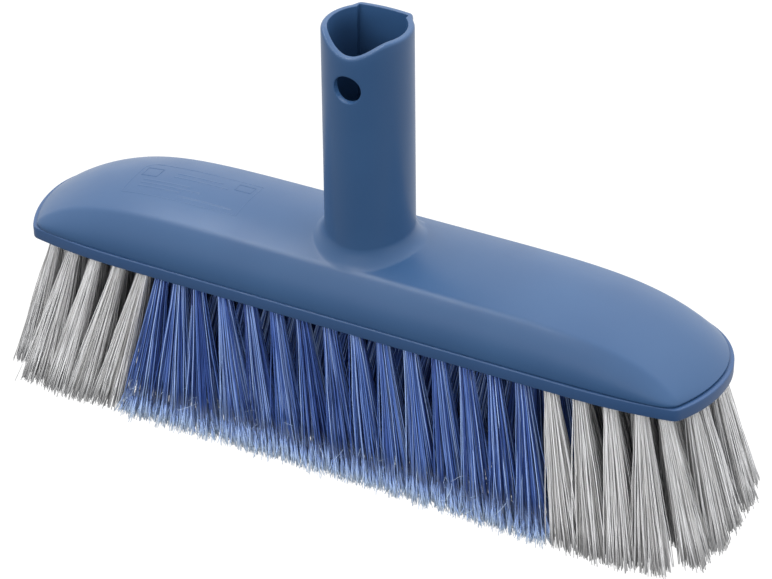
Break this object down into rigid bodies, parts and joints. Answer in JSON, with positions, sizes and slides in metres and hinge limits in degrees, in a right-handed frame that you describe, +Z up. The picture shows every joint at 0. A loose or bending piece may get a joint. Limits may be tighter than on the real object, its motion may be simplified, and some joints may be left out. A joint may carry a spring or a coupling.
{
  "type": "floor broom head",
  "caption": "Floor broom head with a moulded cover, an upright snap-in handle socket with a button hole, and five rows of splayed bristle tufts.",
  "frame": {"origin": "on the floor, under the middle of the head, at the level of the bristle tips", "axes": "+X along the head, +Z up the handle socket, -Y towards the side with the button hole"},
  "size_m": [0.3104, 0.0882, 0.1767],
  "materials": {
    "cover_plastic": "satin moulded",
    "block_plastic": "satin moulded",
    "blue_filament": "extruded filament with split, pale tips",
    "grey_filament": "extruded filament",
    "anchor_wire": "drawn flat wire"
  },
  "bodies": {
    "root": {"top_cover": "cover_plastic", "bristle_block": "block_plastic", "tufts_row1_left_grey": "grey_filament", "tufts_row1_blue": "blue_filament", "tufts_row1_right_grey": "grey_filament", "tufts_row2_left_grey": "grey_filament", "tufts_row2_blue": "blue_filament", "tufts_row2_right_grey": "grey_filament", "tufts_row3_left_grey": "grey_filament", "tufts_row3_blue": "blue_filament", "tufts_row3_right_grey": "grey_filament", "tufts_row4_left_grey": "grey_filament", "tufts_row4_blue": "blue_filament", "tufts_row4_right_grey": "grey_filament", "tufts_row5_left_grey": "grey_filament", "tufts_row5_blue": "blue_filament", "tufts_row5_right_grey": "grey_filament", "anchors_row1": "anchor_wire", "anchors_row2": "anchor_wire", "anchors_row3": "anchor_wire", "anchors_row4": "anchor_wire", "anchors_row5": "anchor_wire"}
  },
  "joints": []
}
